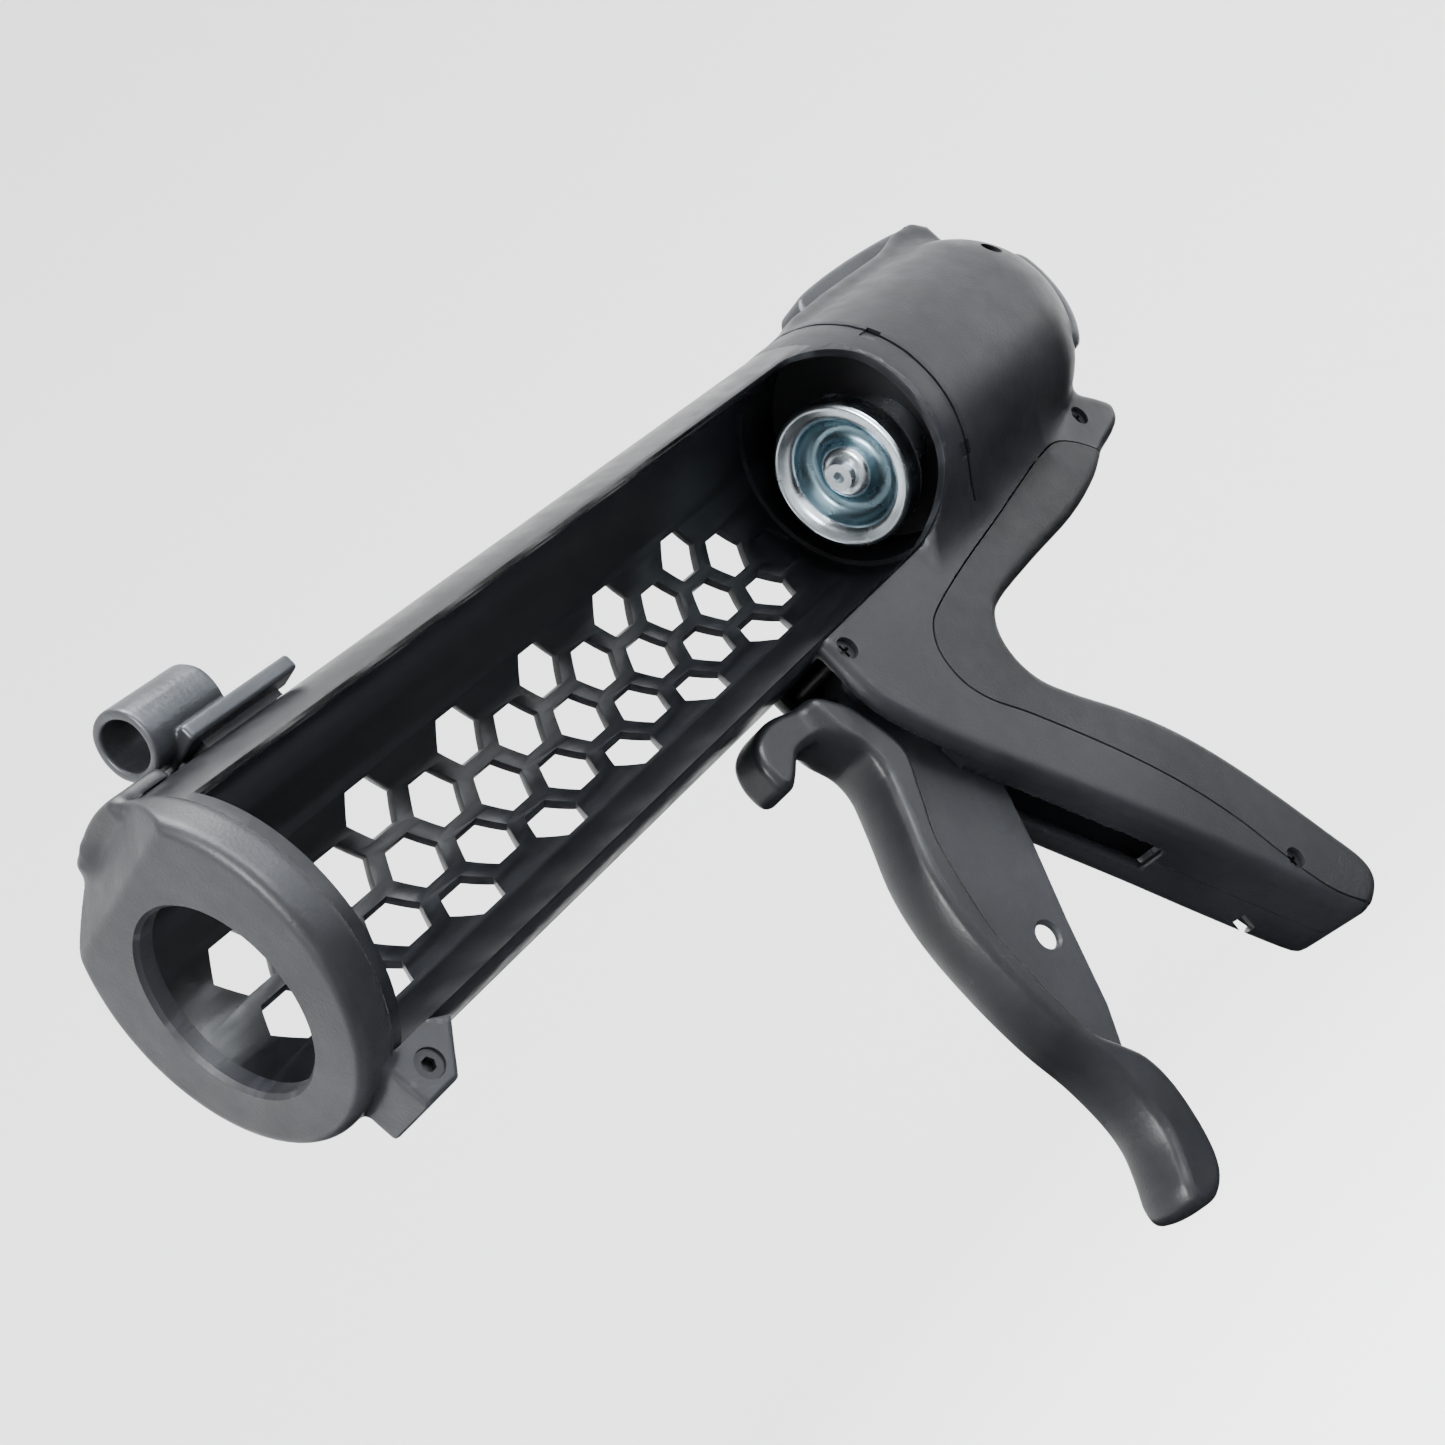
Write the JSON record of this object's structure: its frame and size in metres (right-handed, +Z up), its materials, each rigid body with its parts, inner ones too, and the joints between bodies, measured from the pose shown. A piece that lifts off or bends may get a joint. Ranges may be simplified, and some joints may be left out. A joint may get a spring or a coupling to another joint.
{
  "type": "caulking gun",
  "caption": "Caulking gun with a side-loading barrel, honeycomb wall, round plunger, pistol handle, squeeze trigger and top release lever.",
  "frame": {"origin": "centre of the nozzle opening on the front face of the cap", "axes": "+X along the barrel towards the nozzle, +Y towards the loading window, +Z up; the handle hangs towards -Z"},
  "size_m": [0.3312, 0.068, 0.2233],
  "materials": {
    "housing": "satin moulded plastic with a fine grain",
    "barrel": "satin dark coating",
    "cap": "satin moulded",
    "grip": "soft rubber",
    "trigger": "satin moulded",
    "zinc": "zinc plated",
    "steel": "ground",
    "dark_steel": "black oxide",
    "spring_steel": "drawn wire"
  },
  "bodies": {
    "housing": {"barrel": "barrel", "front_cap": "cap", "cap_screw": "dark_steel", "clip_saddle": "dark_steel", "hanging_clip": "dark_steel", "clip_rivets": "dark_steel", "guide_sleeve": "zinc", "bulkhead": "housing", "rear_support": "housing", "left_shell": "housing", "right_shell": "housing", "soft_grip": "grip", "shell_screws": "dark_steel", "rear_plate": "housing", "trigger_pin": "steel", "trigger_bushes": "steel", "wheel_axle": "steel", "axle_bushes": "steel", "pawl_pin": "steel", "lever_pin": "steel", "push_chain": "steel", "trigger_spring": "spring_steel", "pawl_spring": "spring_steel"},
    "plunger": {"plunger_cup": "zinc", "plunger_screw": "zinc", "push_rod": "zinc"},
    "front_stage": {"push_tube_front": "zinc"},
    "rear_stage": {"push_tube_rear": "zinc"},
    "drive_wheel": {"ratchet_wheel": "steel"},
    "trigger": {"trigger": "trigger", "trigger_blade": "trigger", "link_pin": "steel"},
    "drive_link": {"drive_link": "steel"},
    "holding_pawl": {"holding_pawl": "steel"},
    "release_lever": {"release_lever": "trigger"}
  },
  "joints": [
    {"name": "plunger_slide", "type": "slide", "parent": "housing", "child": "plunger", "axis": [1, 0, 0], "range_m": [0, 0.2]},
    {"name": "front_stage_slide", "type": "slide", "parent": "housing", "child": "front_stage", "axis": [1, 0, 0], "range_m": [0, 0.1334]},
    {"name": "rear_stage_slide", "type": "slide", "parent": "housing", "child": "rear_stage", "axis": [1, 0, 0], "range_m": [0, 0.0667]},
    {"name": "wheel_turn", "type": "hinge", "parent": "housing", "child": "drive_wheel", "pos_m": [-0.266, 0, -0.028], "axis": [0, 1, 0], "range_deg": [0, 1275]},
    {"name": "trigger_pivot", "type": "hinge", "parent": "housing", "child": "trigger", "pos_m": [-0.17, 0, -0.04], "axis": [0, 1, 0], "range_deg": [0, 28], "stiffness_Nm_per_rad": 1.2, "springref_deg": -17.19, "deforming": ["trigger_spring"]},
    {"name": "drive_link_pivot", "type": "hinge", "parent": "trigger", "child": "drive_link", "pos_m": [-0.178, 0, -0.058], "axis": [0, 1, 0], "range_deg": [-32.7, 0]},
    {"name": "pawl_pivot", "type": "hinge", "parent": "housing", "child": "holding_pawl", "pos_m": [-0.288, 0, -0.034], "axis": [0, -1, 0], "range_deg": [0, 12], "stiffness_Nm_per_rad": 0.01, "springref_deg": -11.46, "deforming": ["pawl_spring"]},
    {"name": "lever_pivot", "type": "hinge", "parent": "housing", "child": "release_lever", "pos_m": [-0.312, 0, 0.0388], "axis": [0, -1, 0], "range_deg": [0, 16], "stiffness_Nm_per_rad": 0.4, "springref_deg": -17.19}
  ],
  "couplings": [
    {"joint": "front_stage_slide", "follows": "plunger_slide", "ratio": 0.66667},
    {"joint": "rear_stage_slide", "follows": "plunger_slide", "ratio": 0.33333},
    {"joint": "wheel_turn", "follows": "plunger_slide", "rad_per_m": 111.11},
    {"joint": "drive_link_pivot", "follows": "trigger_pivot", "ratio": -1.166}
  ]
}
